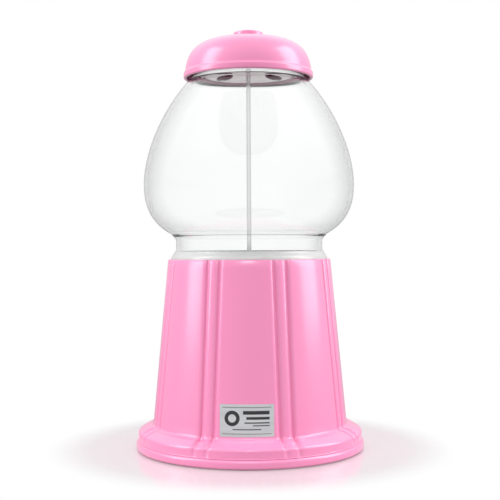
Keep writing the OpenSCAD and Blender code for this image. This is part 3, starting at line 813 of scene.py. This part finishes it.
def make_world():
    """A plain studio surround: white behind the piece, dimmer where the piece mirrors it, and
    a little grey where the glass bends the view to the sides."""
    world = bpy.data.worlds.new("studio")
    bpy.context.scene.world = world
    world.use_nodes = True
    nodes, links = world.node_tree.nodes, world.node_tree.links

    def math_node(operation, a, b):
        node = nodes.new("ShaderNodeMath")
        node.operation = operation
        for socket, value in zip(node.inputs, (a, b)):
            if isinstance(value, (int, float)):
                socket.default_value = value
            else:
                links.new(value, socket)
        return node.outputs[0]

    def stretch(value, start, end, low, high):
        node = nodes.new("ShaderNodeMapRange")
        node.interpolation_type = "SMOOTHSTEP"
        for name, number in (("From Min", start), ("From Max", end),
                             ("To Min", low), ("To Max", high)):
            node.inputs[name].default_value = number
        links.new(value, node.inputs["Value"])
        return node.outputs["Result"]

    where = nodes.new("ShaderNodeTexCoord")
    parts = nodes.new("ShaderNodeSeparateXYZ")
    links.new(where.outputs["Generated"], parts.inputs[0])
    level = stretch(parts.outputs["Y"], 0.2, -0.9, FRONT_GLOSS, BACK_GLOSS)
    gloss = math_node("ADD", level, stretch(parts.outputs["Z"], 0.16, 0.8, 0.0, TOP_GLOSS))
    bent = nodes.new("ShaderNodeVectorMath")
    bent.operation = "MULTIPLY"
    bent.inputs[1].default_value = (0, 1, 1)
    links.new(where.outputs["Generated"], bent.inputs[0])
    size = nodes.new("ShaderNodeVectorMath")
    size.operation = "LENGTH"
    links.new(bent.outputs[0], size.inputs[0])
    through = stretch(size.outputs["Value"], *THROUGH)
    path = nodes.new("ShaderNodeLightPath")
    value = DIFFUSE
    for output, strength in (("Is Glossy Ray", gloss), ("Is Transmission Ray", through),
                             ("Is Camera Ray", 1.0)):
        mix = nodes.new("ShaderNodeMix")
        links.new(path.outputs[output], mix.inputs["Factor"])
        for socket, number in (("A", value), ("B", strength)):
            if isinstance(number, float):
                mix.inputs[socket].default_value = number
            else:
                links.new(number, mix.inputs[socket])
        value = mix.outputs["Result"]
    links.new(value, nodes["Background"].inputs["Strength"])
    nodes["Background"].inputs["Color"].default_value = grey(1)


def make_floor():
    """A pale glossy floor that fades into the white surround. The far part is dimmer in what
    shiny and matt pieces get from it."""
    bm = bmesh.new()
    bmesh.ops.create_circle(bm, cap_ends=True, segments=96, radius=3)
    floor = finish_mesh("floor", bm)
    m, nodes, links, shader = new_material("floor")
    drift = noise(nodes, links, 2, 2)
    tone = ramp(nodes, links, drift.outputs["Fac"], grey(0.93), grey(0.94))
    links.new(tone.outputs["Color"], shader.inputs["Base Color"])
    shader.inputs["Roughness"].default_value = 0.12
    shader.inputs["IOR"].default_value = 1.6
    shader.inputs["Emission Color"].default_value = grey(1)
    shader.inputs["Emission Strength"].default_value = 0.12
    where = nodes.new("ShaderNodeTexCoord")
    length = nodes.new("ShaderNodeVectorMath")
    length.operation = "LENGTH"
    links.new(where.outputs["Object"], length.inputs[0])
    far = nodes.new("ShaderNodeMapRange")
    far.inputs["From Min"].default_value, far.inputs["From Max"].default_value = FLOOR_FADE
    far.interpolation_type = "SMOOTHSTEP"
    links.new(length.outputs["Value"], far.inputs["Value"])
    white = nodes.new("ShaderNodeEmission")
    path = nodes.new("ShaderNodeLightPath")
    mirrored = nodes.new("ShaderNodeMath")
    mirrored.operation = "SUBTRACT"
    mirrored.use_clamp = True
    links.new(path.outputs["Is Glossy Ray"], mirrored.inputs[0])
    links.new(path.outputs["Is Transmission Ray"], mirrored.inputs[1])
    dim = nodes.new("ShaderNodeMath")
    dim.operation = "MULTIPLY_ADD"
    dim.inputs[1].default_value = -FLOOR_DIM_MIRRORED
    dim.inputs[2].default_value = 1.0
    links.new(mirrored.outputs[0], dim.inputs[0])
    dimmer = nodes.new("ShaderNodeMath")
    dimmer.operation = "MULTIPLY_ADD"
    dimmer.inputs[1].default_value = -FLOOR_DIM_DIFFUSE
    links.new(path.outputs["Is Diffuse Ray"], dimmer.inputs[0])
    links.new(dim.outputs[0], dimmer.inputs[2])
    links.new(dimmer.outputs[0], white.inputs["Strength"])
    mix = nodes.new("ShaderNodeMixShader")
    links.new(far.outputs["Result"], mix.inputs[0])
    links.new(shader.outputs[0], mix.inputs[1])
    links.new(white.outputs[0], mix.inputs[2])
    links.new(mix.outputs[0], nodes["Material Output"].inputs["Surface"])
    floor.data.materials.append(m)
    return floor


# Left, right, front and back are here as the camera sees them, and it looks along -Y.
LIGHT_AIM = 0.14                     # metres: the height that the lights look at
FLOOR_FADE = (0.14, 0.19)            # metres from the middle, where the floor turns white
FLOOR_DIM_MIRRORED, FLOOR_DIM_DIFFUSE = 0.5, 0.35
DIFFUSE = 0.85                       # the surround's brightness for matt surfaces
FRONT_GLOSS, BACK_GLOSS, TOP_GLOSS = 0.48, 0.64, 0.9      # and for what shiny ones mirror
THROUGH = (0.5, 0.985, 0.80, 1.03)   # and through the glass, by how far the view is bent

# name, direction from the machine, distance and size in metres, radiance
SIDES = (
    ("left_softbox", (0.96, 0.26, 0.55), 0.95, (0.38, 1.0), 5.0),
    ("right_softbox", (-1.0, 0.03, 0.55), 0.95, (0.5, 1.0), 4.6),
)
LAMPS = (
    ("front_lamp", (0, 0.81, 0.59), 1.3, (0.34, 0.16), 16.0),
    ("back_lamp", (0, -0.57, 0.82), 1.3, (0.4, 0.2), 14.0),
)


def make_stage():
    bpy.context.scene.view_settings.view_transform = "Standard"
    make_world()
    floor = make_floor()
    spare([area_light(*settings) for settings in SIDES], GLASS_PIECE, floor)
    spare([area_light(*settings) for settings in LAMPS], GLASS_PIECE, LID_PIECE, floor)


CAMERA_DISTANCE, CAMERA_HEIGHT = 0.924, 0.1845       # metres
CAMERA_TURN, CAMERA_ROLL = 1.8, -0.3                 # degrees
CAMERA_LENS = 72.14
CAMERA_SHIFT = (0.0016, -0.0084)


def make_camera():
    """A long lens that looks level at the back of the machine."""
    data = bpy.data.cameras.new("camera")
    data.sensor_width = 36
    data.lens = CAMERA_LENS
    data.shift_x, data.shift_y = CAMERA_SHIFT
    data.clip_start = 0.01
    camera = bpy.data.objects.new("camera", data)
    bpy.context.scene.collection.objects.link(camera)
    turn = Matrix.Rotation(math.radians(CAMERA_TURN), 4, "Z")
    look = Matrix.Rotation(math.pi, 4, "Z") @ Matrix.Rotation(math.pi / 2, 4, "X")
    camera.matrix_world = (Matrix.Translation(AXIS) @ turn
                           @ Matrix.Translation((0, CAMERA_DISTANCE, CAMERA_HEIGHT)) @ look
                           @ Matrix.Rotation(math.radians(CAMERA_ROLL), 4, "Z"))
    bpy.context.scene.camera = camera


make_stage()
make_camera()
